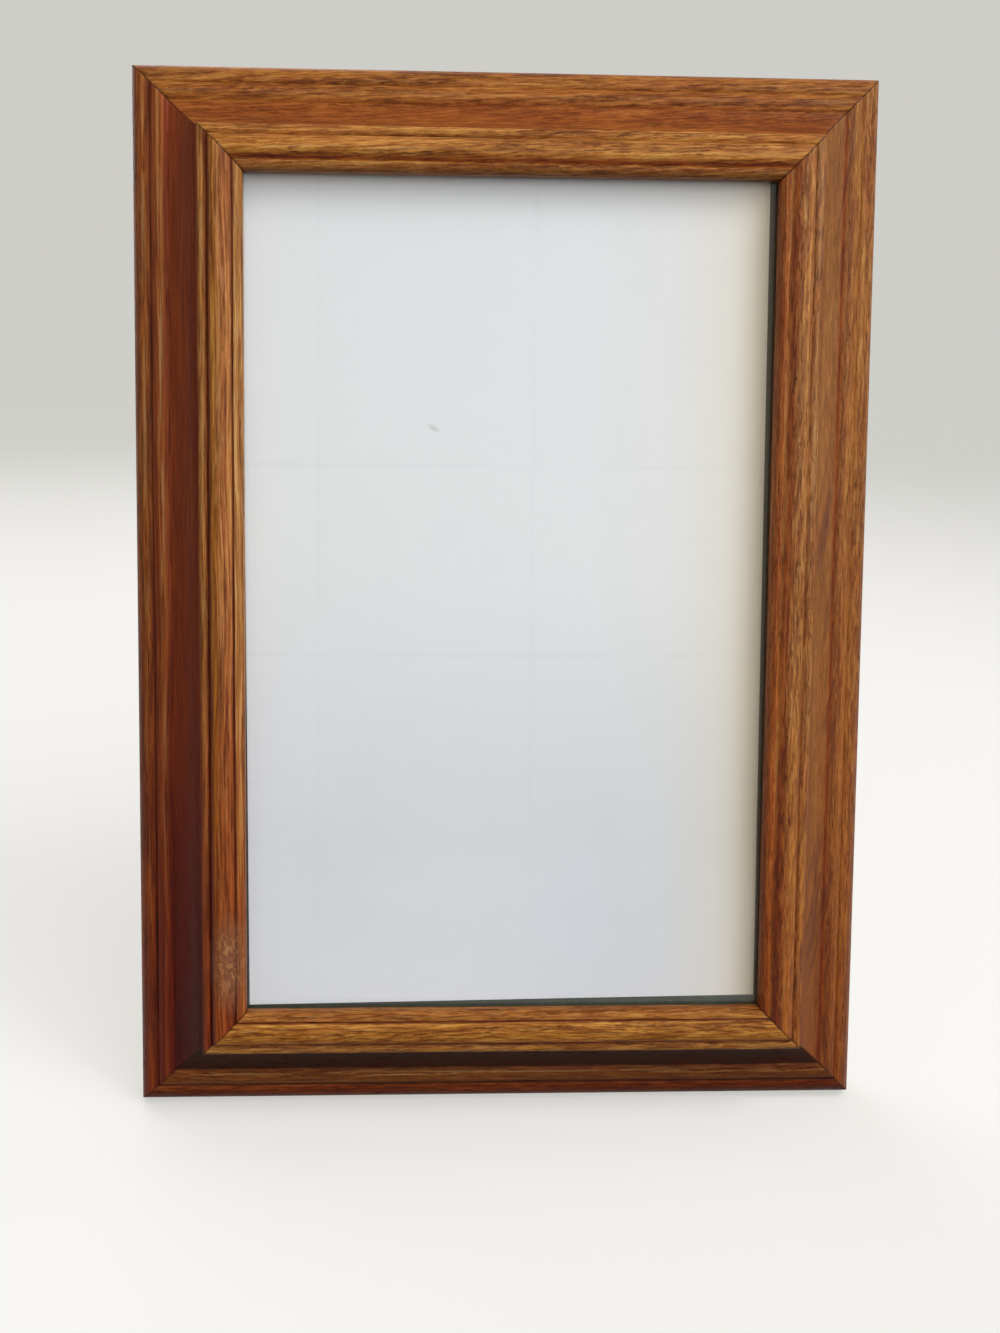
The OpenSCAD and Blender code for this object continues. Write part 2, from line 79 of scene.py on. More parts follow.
class Wires:
    # adds nodes to one tree and joins them; its colour is what is painted so far
    def __init__(self, tree):
        self.tree = tree
        self.colour = None

    def plug(self, socket, value):
        if isinstance(value, bpy.types.NodeSocket):
            self.tree.links.new(value, socket)
        elif value is not None:
            written = socket.type == "RGBA" and len(value) == 3
            socket.default_value = tone(value) if written else value

    def add(self, kind, inputs=None, **settings):
        node = self.tree.nodes.new(kind)
        for key, value in settings.items():
            setattr(node, key, value)
        self.give(node, inputs or {})
        return node

    def give(self, node, inputs):
        for key, value in inputs.items():
            self.plug(node.inputs[key], value)

    def sum(self, how, a, b=None, c=None, clamp=False):
        node = self.add("ShaderNodeMath", operation=how, use_clamp=clamp)
        for socket, value in zip(node.inputs, (a, b, c)):
            self.plug(socket, value)
        return node.outputs[0]

    def find(self, kind):
        return next(n for n in self.tree.nodes if n.type == kind)

    def times(self, a, b, clamp=False):
        return self.sum("MULTIPLY", a, b, clamp=clamp)

    def less(self, a, b):
        return self.sum("SUBTRACT", a, b)

    def vector(self, how, a, b=None):
        node = self.add("ShaderNodeVectorMath", operation=how)
        self.give(node, {0: a, 1: b})
        return node.outputs[1] if how in ("LENGTH", "DOT_PRODUCT") else node.outputs[0]

    def parts(self, vector):
        return self.add("ShaderNodeSeparateXYZ", {0: vector}).outputs

    def join(self, x, y, z):
        return self.add("ShaderNodeCombineXYZ", {0: x, 1: y, 2: z}).outputs[0]

    def between(self, value, low, high, toLow=0.0, toHigh=1.0):
        node = self.add("ShaderNodeMapRange", {0: value, 1: low, 2: high, 3: toLow, 4: toHigh})
        return node.outputs[0]

    def within(self, value, rise, fall, share=1.0):
        # full between two soft borders
        return self.times(self.between(value, *rise), self.between(value, *fall, share, 0.0))

    def off(self, value, middle):
        # how far a value is from a middle
        return self.sum("ABSOLUTE", self.less(value, middle))

    def stretch(self, vector, scale, move=(0, 0, 0), turn=(0, 0, 0)):
        placing = {"Vector": vector, "Scale": scale, "Location": move, "Rotation": turn}
        return self.add("ShaderNodeMapping", placing).outputs[0]

    def noise(self, vector, scale=1.0, detail=2.0, rough=0.5, bend=0.0):
        return self.add("ShaderNodeTexNoise", {
            "Vector": vector, "Scale": scale, "Detail": detail, "Roughness": rough,
            "Distortion": bend,
        }).outputs[0]

    def layer(self, place, scale, edges, detail=2.0, rough=0.5, move=(0, 0, 0)):
        # noise drawn out along the grain, faded in between two of its values
        drawn = self.noise(self.stretch(place, scale, move=move), 1.0, detail, rough)
        return self.between(drawn, *edges)

    def wander(self, place, scale, detail, size):
        # a shift across the grain that changes from place to place
        drawn = self.stretch(place, scale)
        node = self.add("ShaderNodeTexNoise", {"Vector": drawn, "Scale": 1.0, "Detail": detail})
        shift = self.vector("SUBTRACT", node.outputs["Color"], (0.5, 0.5, 0.5))
        return self.vector("MULTIPLY", shift, (0, size, size))

    def noiseLine(self, value, scale, detail=1.0):
        node = self.add("ShaderNodeTexNoise", noise_dimensions="1D")
        self.give(node, {"W": value, "Scale": scale, "Detail": detail})
        return node.outputs[0]

    def blend(self, factor, a, b, how="MIX"):
        node = self.add("ShaderNodeMix", data_type="RGBA", blend_type=how)
        self.give(node, {0: factor, 6: a, 7: b})
        return node.outputs[2]

    def paint(self, factor, tint, how="MIX"):
        self.colour = self.blend(factor, self.colour, tint, how)

    def ramp(self, value, stops, curve="LINEAR"):
        node = self.add("ShaderNodeValToRGB", {0: value})
        node.color_ramp.interpolation = curve
        points = node.color_ramp.elements
        while len(points) < len(stops):
            points.new(0.5)
        for point, (place, colour) in zip(points, sorted(stops)):
            point.position = place
            grey = isinstance(colour, (int, float))
            point.color = (colour, colour, colour, 1) if grey else tone(colour)
        return node.outputs[0]


def tone(colour):
    # written colours are as seen on a screen, 0 to 255
    def one(c):
        c = c / 255
        return c / 12.92 if c <= 0.04045 else ((c + 0.055) / 1.055) ** 2.4

    return (*[one(c) for c in colour], 1.0)


def newMaterial(name):
    material = bpy.data.materials.new(name)
    material.use_nodes = True
    w = Wires(material.node_tree)
    return material, w, w.find("BSDF_PRINCIPLED")


def objectPlace(w):
    # object coordinates as the frame's own drawing millimetres
    place = w.add("ShaderNodeTexCoord").outputs["Object"]
    back = (0, setBack * cos(leanAngle) / mm, setBack * sin(leanAngle) / mm)
    return w.stretch(place, toMillimetres, move=back, turn=(leanAngle, 0, 0))


def bumped(w, shader, height, depth, strength=1.0):
    bump = w.add("ShaderNodeBump", {"Height": height, "Distance": depth, "Strength": strength})
    w.plug(shader.inputs["Normal"], bump.outputs[0])


def dress(piece, material):
    piece.data.materials.clear()
    piece.data.materials.append(material)


def newObject(name, data):
    made = bpy.data.objects.new(name, data)
    scene.collection.objects.link(made)
    return made


def meshOf(name, shape):
    mesh = bpy.data.meshes.new(name)
    shape.to_mesh(mesh)
    shape.free()
    return mesh


def asMesh(host, name):
    # the evaluated host as a plain mesh piece at the origin
    depsgraph = bpy.context.evaluated_depsgraph_get()
    mesh = bpy.data.meshes.new_from_object(host.evaluated_get(depsgraph))
    for modifier in list(host.modifiers):
        host.modifiers.remove(modifier)
    mesh.name = name
    piece = newObject(name, mesh)
    bpy.data.objects.remove(host)
    return piece


def smoothed(piece, angle=35):
    piece.data.shade_smooth()
    piece.data.set_sharp_from_angle(angle=radians(angle))
    return piece


def newTree(name, inputs):
    tree = bpy.data.node_groups.new(name, "GeometryNodeTree")
    tree.interface.new_socket("Geometry", in_out="OUTPUT", socket_type="NodeSocketGeometry")
    sockets = {
        label: tree.interface.new_socket(label, socket_type="NodeSocket" + kind)
        for label, kind in inputs.items()
    }
    return tree, Wires(tree), sockets


def runTree(name, tree, sockets, values):
    host = newObject(name + "Host", bpy.data.meshes.new(name + "Host"))
    modifier = host.modifiers.new(name, "NODES")
    modifier.node_group = tree
    for label, value in values.items():
        modifier[sockets[label].identifier] = value
    return asMesh(host, name)


# the moulding, in millimetres: each part's width, the rise of its far side, and its bulge
moulding = {
    "lip": (3.1, 2.9, 0.2), "bead": (3.4, 3.6, 0.16), "cove": (5.6, 11.5, -0.17),
    "ledge": (1.5, 11.9, 0.14), "step": (1.0, 13.0, 0.12), "crown": (4.3, 12.7, 0.14),
    "sight": (1.7, 11.1, 0.22), "side": 5.0, "rebate": (12.4, 14.8),
    "groove": (0.4, 0.2, 0.35),  # width, depth, lean of its floor to the inner side
    "easing": 0.35, "cornerEasing": 0.15, "roundSteps": 14,
}


def bow(p, q, share, steps):
    # an arc from p to q that bulges by a share of its span
    p, q = Vector(p), Vector(q)
    way = q - p
    span = way.length
    rise = abs(share) * span
    radius = (span * span / 4 + rise * rise) / (2 * rise)
    side = 1 if share > 0 else -1
    left = Vector((-way.y, way.x)) / span
    middle = (p + q) / 2 - left * side * (radius - rise)
    start = atan2(p.y - middle.y, p.x - middle.x)
    turn = -side * 2 * asin(span / (2 * radius))
    angles = [start + turn * i / steps for i in range(steps + 1)]
    return [(middle.x + radius * cos(a), middle.y + radius * sin(a)) for a in angles]


def mouldingSection(m):
    # inward from the outer edge, forward from the back, in millimetres
    side, steps = m["side"], m["roundSteps"]
    half, deep = m["groove"][0] / 2, m["groove"][1]
    floor = m["groove"][0] * m["groove"][2]
    rounds = ("lip", "bead", "cove", "ledge", "crown", "sight")
    s1, s2, s3, s4, s5, s6 = accumulate(m[part][0] for part in rounds)
    rise = {part: side + m[part][1] for part in (*rounds, "step")}
    points = [(0, m["easing"])]
    points += bow((0, side), (s1 - half, rise["lip"]), m["lip"][2], steps)
    points += [(s1 + floor, rise["lip"] - deep)]
    points += bow((s1 + half, rise["lip"]), (s2, rise["bead"]), m["bead"][2], steps)
    points += bow((s2, rise["bead"]), (s3, rise["cove"]), m["cove"][2], steps)[1:]
    points += bow((s3, rise["cove"]), (s4 - half, rise["ledge"]), m["ledge"][2], steps)[1:]
    points += [(s4 + floor, rise["ledge"] - deep)]
    step = (s4 + m["step"][0], rise["step"])
    points += bow((s4 + half, rise["ledge"]), step, m["step"][2], steps)
    points += bow(step, (s5 - half, rise["crown"]), m["crown"][2], steps)[1:]
    points += [(s5 + floor, rise["crown"] - deep)]
    points += bow((s5 + half, rise["crown"]), (s6, rise["sight"]), m["sight"][2], steps)
    wall, seat = m["rebate"]
    ease = m["cornerEasing"]
    points += [(s6, seat + ease), (s6 - ease, seat), (wall, seat), (wall, ease), (wall - ease, 0)]
    points += [(m["easing"], 0)]
    return points[::-1]


def sectionCurve(points):
    curve = bpy.data.curves.new("mouldingSection", "CURVE")
    curve.dimensions = "2D"
    spline = curve.splines.new("POLY")
    spline.points.add(len(points) - 1)
    for point, (s, h) in zip(spline.points, points):
        point.co = (s * mm, h * mm, 0, 1)
    spline.use_cyclic_u = True
    return newObject("mouldingSection", curve)


railWear = {
    "gap": 0.04, "end": 0.1, "wander": 0.05,  # millimetres at the mitre, and all along
    "endFall": 0.22,  # millimetres from the mitre over which its worn edge fades
    "waves": (30, 90),  # waves to the metre, along and across
    "frontFrom": (4, 8),  # millimetres from the back where wear begins and is full
}


def mitredRailTree():
    # sweeps the section along a rail, with its steps closer towards the ends, and cuts
    # both at the mitre; the place in the wood goes along as an attribute
    tree, w, sockets = newTree("mitredRail", {
        "Section": "Object", "Length": "Float", "Steps": "Int", "Mitre Gap": "Float",
        "End Wear": "Float", "Wander": "Float", "Seed": "Float", "Finish": "Material",
    })
    given = w.add("NodeGroupInput").outputs
    half = w.sum("DIVIDE", given["Length"], 2)
    line = w.add("GeometryNodeCurvePrimitiveLine", {"Start": (-1, 0, 0), "End": (1, 0, 0)})
    steps = w.add("GeometryNodeResampleCurve", {"Curve": line.outputs[0], "Count": given["Steps"]})
    profile = w.add("GeometryNodeObjectInfo", {"Object": given["Section"]})
    swept = w.add("GeometryNodeCurveToMesh", {
        0: steps.outputs[0], "Profile Curve": profile.outputs["Geometry"], "Fill Caps": True,
    })
    x, y, z = w.parts(w.add("GeometryNodeInputPosition").outputs[0])
    inward = w.times(y, -1)
    forward = w.times(z, -1)
    spread = w.sum("SINE", w.times(x, pi / 2))
    reach = w.less(w.less(half, inward), given["Mitre Gap"])
    along = w.times(spread, reach)
    toEnd = w.less(reach, w.sum("ABSOLUTE", along))
    fall = w.sum("POWER", 2.718, w.sum("DIVIDE", toEnd, -railWear["endFall"] * mm))
    worn = w.times(fall, given["End Wear"])
    alongWaves, acrossWaves = railWear["waves"]
    spot = w.join(w.times(along, alongWaves), w.times(inward, acrossWaves), given["Seed"])
    sway = w.times(w.noise(spot, 1.0, 1.0), given["Wander"])
    frontOnly = w.between(forward, *[h * mm for h in railWear["frontFrom"]])
    sink = w.times(w.sum("ADD", worn, sway), frontOnly)
    place = w.join(along, w.less(sink, forward), inward)
    grain = w.join(along, inward, forward)
    kept = swept
    for label, kind, value in (("grain", "FLOAT_VECTOR", grain), ("toMitre", "FLOAT", toEnd)):
        before = kept.outputs[0]
        kept = w.add("GeometryNodeStoreNamedAttribute", data_type=kind)
        w.give(kept, {"Geometry": before, "Name": label, "Value": value})
    moved = w.add("GeometryNodeSetPosition", {"Geometry": kept.outputs[0], "Position": place})
    real = w.add("GeometryNodeRealizeInstances", {0: moved.outputs[0]})
    finish = w.add("GeometryNodeSetMaterial", {0: real.outputs[0], "Material": given["Finish"]})
    w.add("NodeGroupOutput", {0: finish.outputs[0]})
    return tree, sockets


# noise layers of the oak: stretch along and across the grain, shift, where they fade in
oakLayers = {
    "bands": {"scale": (0.03, 0.8, 0.8), "edges": (0.33, 0.68)},
    "redder": {
        "scale": (0.035, 0.35, 0.35), "move": (7, 1, 2), "detail": 1.0, "edges": (0.4, 0.64),
    },
    "olive": {"scale": (0.06, 1.1, 1.1), "move": (5, 8, 1), "edges": (0.48, 0.6)},
    "flecks": {"scale": (0.22, 2.6, 2.6), "move": (9, 2, 8), "detail": 1.0, "edges": (0.56, 0.72)},
    "hairs": {"scale": (0.07, 5.5, 5.5), "move": (3, 3, 3), "detail": 1.0, "edges": (0.58, 0.7)},
    "someOnly": {
        "scale": (0.03, 0.12, 0.12), "move": (1, 9, 4), "detail": 1.0, "edges": (0.44, 0.58),
    },
    "rubbed": {"scale": (0.06, 2.4, 2.4), "move": (4, 4, 4), "edges": (0.46, 0.62)},
}
oakTints = {
    "redder": (226, 176, 148), "olive": (236, 240, 196), "hair": (104, 56, 30),
    "pore": (80, 42, 22), "slant": (118, 70, 58), "rubbed": (206, 160, 104), "glue": (50, 26, 16),
    "knotPale": (178, 128, 84), "knotDark": (138, 92, 70), "curl": (100, 54, 32),
}
# millimetres in from the outer edge where they begin and end
coveZone = {"rise": (5.2, 7.2), "fall": (10.5, 12.4)}
middleZone = {"rise": (4, 5.5), "fall": (13, 16)}


def oakMaterial(name, o):
    material, w, shader = newMaterial(name)
    grain = w.add("ShaderNodeAttribute", attribute_name="grain").outputs["Vector"]
    toEnd = w.add("ShaderNodeAttribute", attribute_name="toMitre").outputs["Fac"]
    straight = w.stretch(grain, toMillimetres)
    along, inward, forward = w.parts(straight)
    place = w.stretch(straight, (1, 1, 1), move=(o["seed"] * 137.0, 0, 0), turn=(0, 0, o["tilt"]))

    # slow drift of the fibres, and a quick ripple across them
    drift = w.wander(place, o["driftScale"], 1.0, o["drift"])
    ripple = w.wander(place, (0.45, 0.9, 0.9), 2.0, o["ripple"])
    place = w.vector("ADD", place, w.vector("ADD", drift, ripple))

    # growth rings round a far pith, uneven in width
    cross = w.vector("MULTIPLY", place, (0.01, 1, 1))
    radius = w.vector("LENGTH", w.vector("SUBTRACT", cross, (0, *o["pith"])))
    rings = w.between(w.noiseLine(radius, o["ringScale"], 2.0), 0.32, 0.7)
    bands = w.layer(place, **oakLayers["bands"])
    lines = w.layer(place, o["lineScale"], (0.36, 0.64), detail=4.0, rough=0.66)
    mixed = w.times(rings, o["ringShare"])
    mixed = w.sum("MULTIPLY_ADD", bands, o["bandShare"], mixed)
    mixed = w.sum("MULTIPLY_ADD", lines, o["lineShare"], mixed)
    w.colour = w.ramp(mixed, list(zip((0.2, 0.42, 0.62, 0.84), o["colours"])))

    # redder stretches along the rail, and olive streaks
    for label, share in (("redder", o["redShare"]), ("olive", o["oliveShare"])):
        streak = w.times(w.layer(place, **oakLayers[label]), share)
        w.paint(streak, oakTints[label], "MULTIPLY")

    # the back is bare wood
    ragged = w.times(w.noise(w.stretch(place, (0.5, 2, 2)), 1.0, 2.0), 0.5)
    bare = w.between(w.less(forward, ragged), 0.0, 0.25, 1.0, 0.0)
    stained = w.less(1.0, bare)
    raw = w.ramp(mixed, list(zip((0.2, 0.5, 0.84), o["raw"])))
    w.paint(bare, raw)

    # pale flecks, fine hairs, and open pores: short dark dashes, most in the early wood
    poreEdges = (o["poreEdge"], o["poreEdge"] + 0.07)
    pores = w.layer(place, o["poreScale"], poreEdges, rough=0.55, move=(1, 5, 2))
    pores = w.times(pores, w.between(rings, 0.15, 0.75, 1.0, 0.25))
    flecks, hairs = [w.layer(place, **oakLayers[label]) for label in ("flecks", "hairs")]
    w.paint(w.times(flecks, o["fleckShare"]), o["fleck"])
    w.paint(w.times(hairs, o["hairShare"]), oakTints["hair"])
    w.paint(w.times(pores, o["poreShare"]), oakTints["pore"])

    # calmer grain down in the cove
    calm = w.within(inward, **coveZone, share=o["calmShare"])
    w.paint(w.times(calm, stained), o["calm"])

    # grain that runs out aslant, in thin lines; their purplish tint is a painted sheen
    slant = w.stretch(grain, toMillimetres, turn=(0, 0, o["slant"]))
    slant = w.vector("ADD", slant, w.vector("MULTIPLY", drift, (0, 0.5, 0)))
    slant = w.noise(w.stretch(slant, (0.02, 0.42, 0.3), move=(2, 6, 2)), 1.0, 1.0)
    slant = w.between(w.off(slant, 0.5), 0.0, 0.07, 1.0, 0.0)
    slant = w.times(slant, w.layer(place, **oakLayers["someOnly"]))
    middle = w.times(w.within(inward, **middleZone), o["slantSheenShare"])
    w.paint(w.times(slant, middle), oakTints["slant"])

    # stain lies differently on each round of the moulding, partly real stain and partly painted
    # shade: on the left and bottom rails the grooves and the cove are stained darker where they
    # turn from the light
    sway = w.noise(w.stretch(place, (0.12, 0, 0), move=(6, 0, 0)), 1.0, 3.0, 0.7)
    across = w.sum("MULTIPLY_ADD", w.less(sway, 0.5), o["sway"], inward)
    stops = [(s / 20, stains[n]) for n, spots in o["stainAndShade"].items() for s in spots]
    stainAndShade = w.ramp(w.between(across, 0, 20), stops)
    w.paint(stained, stainAndShade, "MULTIPLY")

    # lighter along the crests, in broken streaks: partly finish rubbed thin, partly a painted
    # highlight
    rub = w.layer(place, **oakLayers["rubbed"])
    for crest, half, share in o["rubbed"]:
        here = w.between(w.off(inward, crest), 0.0, half, share, 0.0)
        w.paint(w.times(here, rub), oakTints["rubbed"])

    # painted shade: the uprights darker towards their foot
    if "foot" in o:
        down = w.between(along, *o["run"])
        w.paint(stained, w.ramp(down, o["foot"]), "MULTIPLY")

    # painted shade: darker again over some rounds of the moulding, fading in along the rail
    for low, high, run, stops in o["dim"]:
        here = w.times(w.within(inward, (low, low + 0.6), (high - 0.3, high)), stained)
        w.paint(here, w.ramp(w.between(along, *run), stops), "MULTIPLY")

    # knot with the grain curling round it
    if "knot" in o:
        middle, size, share = o["knot"]
        reach = w.vector("SUBTRACT", straight, (*middle, 0))
        reach = w.vector("LENGTH", w.vector("MULTIPLY", reach, (1 / size[0], 1 / size[1], 0)))
        curl = w.noise(w.stretch(place, (0.32, 0.75, 0.75), move=(3, 1, 7)), 1.0, 3.0, 0.6, 1.4)
        patch = w.blend(w.between(curl, 0.42, 0.6), oakTints["knotPale"], oakTints["knotDark"])
        w.paint(w.between(reach, 0.3, 1.1, share, 0.0), patch)
        curl = w.between(w.off(curl, 0.5), 0.01, 0.05, 0.8, 0.0)
        curl = w.times(curl, w.between(reach, 0.5, 1.2, 1.0, 0.0))
        w.paint(curl, oakTints["curl"])

    # dark glue line at the mitre
    ragged = w.times(w.noise(w.stretch(place, (2, 2, 2)), 1.0, 2.0), 0.3 * mm)
    seam = w.between(w.less(toEnd, ragged), 0, 0.07 * mm, 1.0, 0.0)
    w.paint(w.times(seam, 0.4), oakTints["glue"])

    rough = w.between(lines, 0, 1, o["rough"] - 0.05, o["rough"] + 0.06)
    rough = w.sum("MULTIPLY_ADD", pores, 0.25, rough, clamp=True)
    specular, coat = o["shine"]
    w.give(shader, {
        "Base Color": w.colour, "Roughness": rough, "Specular IOR Level": specular,
        "Coat Weight": coat, "Coat Roughness": 0.32,
    })
    height = w.sum("MULTIPLY_ADD", lines, 0.3, w.times(pores, -1))
    bumped(w, shader, height, 0.06 * mm)
    return material


stains = {
    "plain": (255, 252, 240), "straw": (255, 248, 206), "sand": (250, 236, 240),
    "blush": (243, 247, 255), "rose": (246, 208, 180), "honey": (240, 228, 204),
    "tan": (222, 204, 178), "fawn": (217, 209, 205), "ash": (212, 196, 188),
    "russet": (226, 188, 158), "ochre": (213, 187, 152), "bark": (206, 166, 128),
    "chestnut": (212, 166, 144), "cocoa": (202, 138, 126), "walnut": (188, 132, 112),
    "dusk": (180, 150, 136), "umber": (146, 100, 82), "deepShade": (86, 60, 48),
}
oakBase = {
    "tilt": 0.0, "driftScale": (0.02, 0.08, 0.08), "drift": 2.4, "ripple": 0.35,
    "pith": (42.0, -34.0), "ringScale": 0.9, "ringShare": 0.24, "bandShare": 0.16,
    "lineScale": (0.12, 2.7, 2.7), "lineShare": 0.56,
    "poreScale": (0.26, 2.6, 2.6), "poreEdge": 0.58, "poreShare": 0.6,
    "fleck": (214, 172, 112), "fleckShare": 0.35, "hairShare": 0.3,
    "redShare": 0.3, "oliveShare": 0.4, "sway": 0.5,
    "calm": (176, 118, 62), "calmShare": 0.5, "slant": 0.0, "slantSheenShare": 0.0,
    "rubbed": [],  # crest, half width, share
    "dim": [],  # from and to across, run along, colours
    "rough": 0.42, "shine": (0.2, 0.06),  # specular, coat
    "colours": [(120, 68, 32), (160, 102, 50), (190, 130, 68), (216, 166, 98)],
    "raw": [(160, 120, 80), (194, 156, 110), (216, 184, 136)],
}
# where each stain lies is in millimetres in from the outer edge; the darker stains in the grooves
# and coves of the left and bottom rails are painted shade
railSets = {
    "leftRail": {
        **oakBase,
        "seed": 1.0, "edge": "left", "ringScale": 0.75, "poreShare": 0.3, "ripple": 0.12,
        "sway": 0.25, "lineScale": (0.06, 2.4, 2.4), "shine": (0.15, 0.04),
        "colours": [(124, 72, 35), (165, 107, 54), (196, 136, 73), (222, 172, 106)],
        "run": (-90, 90),
        "foot": [
            (0.1, (255, 255, 255)), (0.4, (252, 250, 246)), (0.52, (242, 230, 216)),
            (0.72, (224, 190, 168)), (0.9, (209, 156, 126)), (1.0, (205, 146, 112)),
        ],
        "stainAndShade": {
            "russet": (0, 2.6), "umber": (3.1, 13.9, 17.8, 18.02), "walnut": (3.6,),
            "chestnut": (4.5, 5.4, 13.6, 14.2), "cocoa": (6, 12), "honey": (12.4,),
            "plain": (13.1, 15.3), "straw": (14.5, 15), "sand": (15.6, 17.6),
            "blush": (18.2, 19.6),
        },
        "rubbed": [(2.0, 0.5, 0.5), (4.9, 0.6, 0.7), (12.8, 0.4, 0.6), (15.8, 0.5, 0.4)],
        "knot": ((61.5, 16.9), (8.5, 3.3), 0.65),
        # painted shade: bands darker towards the foot of the rail
        "dim": [
            (3.6, 14.0, (0, 90), [(0.0, (255, 255, 255)), (0.44, (233, 220, 233)),
                                  (0.8, (222, 196, 186)), (1.0, (206, 168, 150))]),
            (6.0, 12.4, (35, 85), [(0.0, (255, 255, 255)), (1.0, (188, 176, 156))]),
        ],
    },
    "rightRail": {
        **oakBase,
        "seed": 2.0, "edge": "right", "ripple": 0.5, "slant": 0.2, "slantSheenShare": 0.8,
        "lineScale": (0.2, 2.6, 2.6), "poreScale": (0.4, 2.6, 2.6), "lineShare": 0.46,
        "colours": [(128, 76, 40), (164, 107, 58), (192, 134, 76), (216, 168, 106)],
        "run": (90, -90),
        "foot": [
            (0.1, (255, 255, 255)), (0.4, (255, 254, 250)), (0.52, (250, 244, 230)),
            (0.72, (240, 222, 190)), (0.9, (217, 185, 140)), (1.0, (207, 170, 126)),
        ],
        "stainAndShade": {
            "honey": (0, 2.4, 18), "tan": (3.6, 5.9), "chestnut": (6.3, 6.55, 17.6),
            "fawn": (6.95, 11), "plain": (11.6, 16), "russet": (16.8,), "rose": (18.3, 19.6),
        },
        "rubbed": [(12.9, 0.7, 0.4), (17.95, 0.2, 0.6)],
    },
    "topRail": {
        **oakBase,
        "seed": 3.0, "edge": "top", "ripple": 0.5, "tilt": -0.05, "oliveShare": 0.6,
        "lineScale": (0.2, 2.7, 2.7), "poreScale": (0.36, 2.6, 2.6),
        "calm": (166, 108, 46), "calmShare": 0.3, "shine": (0.15, 0.04),
        "colours": [(124, 72, 34), (168, 108, 52), (198, 138, 72), (224, 174, 102)],
        "stainAndShade": {
            "ochre": (0, 4, 5.8), "tan": (3.2, 13.7, 17), "bark": (6.6, 11.6),
            "honey": (12.1, 13.4, 14.6), "straw": (16.4,), "walnut": (17.5,), "chestnut": (17.8,),
            "plain": (18,), "ash": (18.3, 19.6),
        },
        "rubbed": [(4.8, 0.6, 0.2), (16.0, 0.5, 0.35)],
    },
    "bottomRail": {
        **oakBase,
        "seed": 4.0, "edge": "bottom", "ripple": 0.4, "redShare": 0.12, "shine": (0.1, 0.02),
        "lineScale": (0.18, 2.7, 2.7), "poreScale": (0.36, 2.6, 2.6),
        "stainAndShade": {
            "umber": (0, 17.8, 18.02), "walnut": (1.6, 2.8, 13.75), "deepShade": (3.12, 6.5, 12),
            "dusk": (3.5, 6.1), "straw": (12.3, 14.8, 17.5), "plain": (13.4,), "russet": (14.1,),
            "tan": (18.2, 19.6),
        },
        "rubbed": [(5.3, 0.7, 0.5), (12.8, 0.4, 0.4)],
        # painted shade: lip, bead and cove darker towards the right end
        "dim": [
            (-1.0, 6.2, (-20, 64), [(0.0, (255, 255, 255)), (0.7, (224, 210, 198)),
                                    (1.0, (204, 184, 164))]),
        ],
    },
}


def onEdge(edge):
    across, up = frameSize["width"] / 2 * mm, frameSize["height"] * mm
    quarter = pi / 2
    return {
        "bottom": Matrix.Identity(4),
        "right": Matrix.Translation((across, 0, up / 2)) @ Matrix.Rotation(-quarter, 4, "Y"),
        "left": Matrix.Translation((-across, 0, up / 2)) @ Matrix.Rotation(quarter, 4, "Y"),
        "top": Matrix.Translation((0, 0, up)) @ Matrix.Rotation(2 * quarter, 4, "Y"),
    }[edge]


section = sectionCurve(mouldingSection(moulding))
railTree, railSockets = mitredRailTree()
for name, settings in railSets.items():
    upright = settings["edge"] in ("left", "right")
    rail = runTree(name, railTree, railSockets, {
        "Section": section,
        "Length": frameSize["height" if upright else "width"] * mm,
        "Steps": 200 if upright else 160,
        "Mitre Gap": railWear["gap"] * mm,
        "End Wear": railWear["end"] * mm,
        "Wander": railWear["wander"] * mm,
        "Seed": settings["seed"],
        "Finish": oakMaterial(name + "Oak", settings),
    })
    rail.data.transform(stand @ onEdge(settings["edge"]))
    smoothed(rail, 40)
    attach(rail, "frame")
    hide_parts(settings["edge"] + "_rail")
    print("rail", name, len(rail.data.polygons), "faces")
bpy.data.objects.remove(section)


def clearGlass():
    material, w, shader = newMaterial("clearGlass")
    wipe = w.noise(objectPlace(w), 0.05, 3.0)
    w.give(shader, {
        "Base Color": (0.985, 1.0, 0.99, 1), "Transmission Weight": 1.0, "IOR": 1.5,
        "Roughness": w.between(wipe, 0.3, 0.7, 0.0, 0.012),
    })
    path = w.add("ShaderNodeLightPath").outputs
    passing = w.sum("MAXIMUM", path["Is Shadow Ray"], path["Is Diffuse Ray"])
    hole = w.add("ShaderNodeBsdfTransparent")
    pane = w.add("ShaderNodeMixShader", {0: passing, 1: shader.outputs[0], 2: hole.outputs[0]})
    w.give(w.find("OUTPUT_MATERIAL"), {"Surface": pane.outputs[0]})
    return material


dress(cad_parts["glass_pane"], clearGlass())

# the white sheet: cut a little askew, once folded, pressed flat by the glass
paper = {
    "lowLeft": (-44.1, 19.75), "lowRight": (44.1, 20.9),
    "highRight": (43.4, 166.2), "highLeft": (-44.9, 166.2),
    "face": -12.75, "thickness": 0.25, "columns": 96, "rows": 150,
    "crossFolds": [(112.9, 0.8), (80.7, 1.0), (58.8, 0.55)],  # height, strength
    "longFolds": [(-32.1, 0.7), (4.1, 0.8)],
    "crossSway": (0.25, 0.11, 0.17, 2),  # how far and how often a fold sways, how it fades
    "longSway": (0.2, 0.08, 0.09, 3),
    "foldDepth": 0.035, "foldWidth": 0.8,
    "mark": (-12.8, 119.2),
    "cloud": [(0.3, (240, 241, 245)), (0.7, (249, 250, 251))],
    "fibre": (222, 223, 226), "grey": (220, 223, 231), "creamShadeTint": (236, 218, 180),
    "under": (238, 240, 226), "creaseShade": (204, 206, 212), "smudge": (128, 128, 130),
}


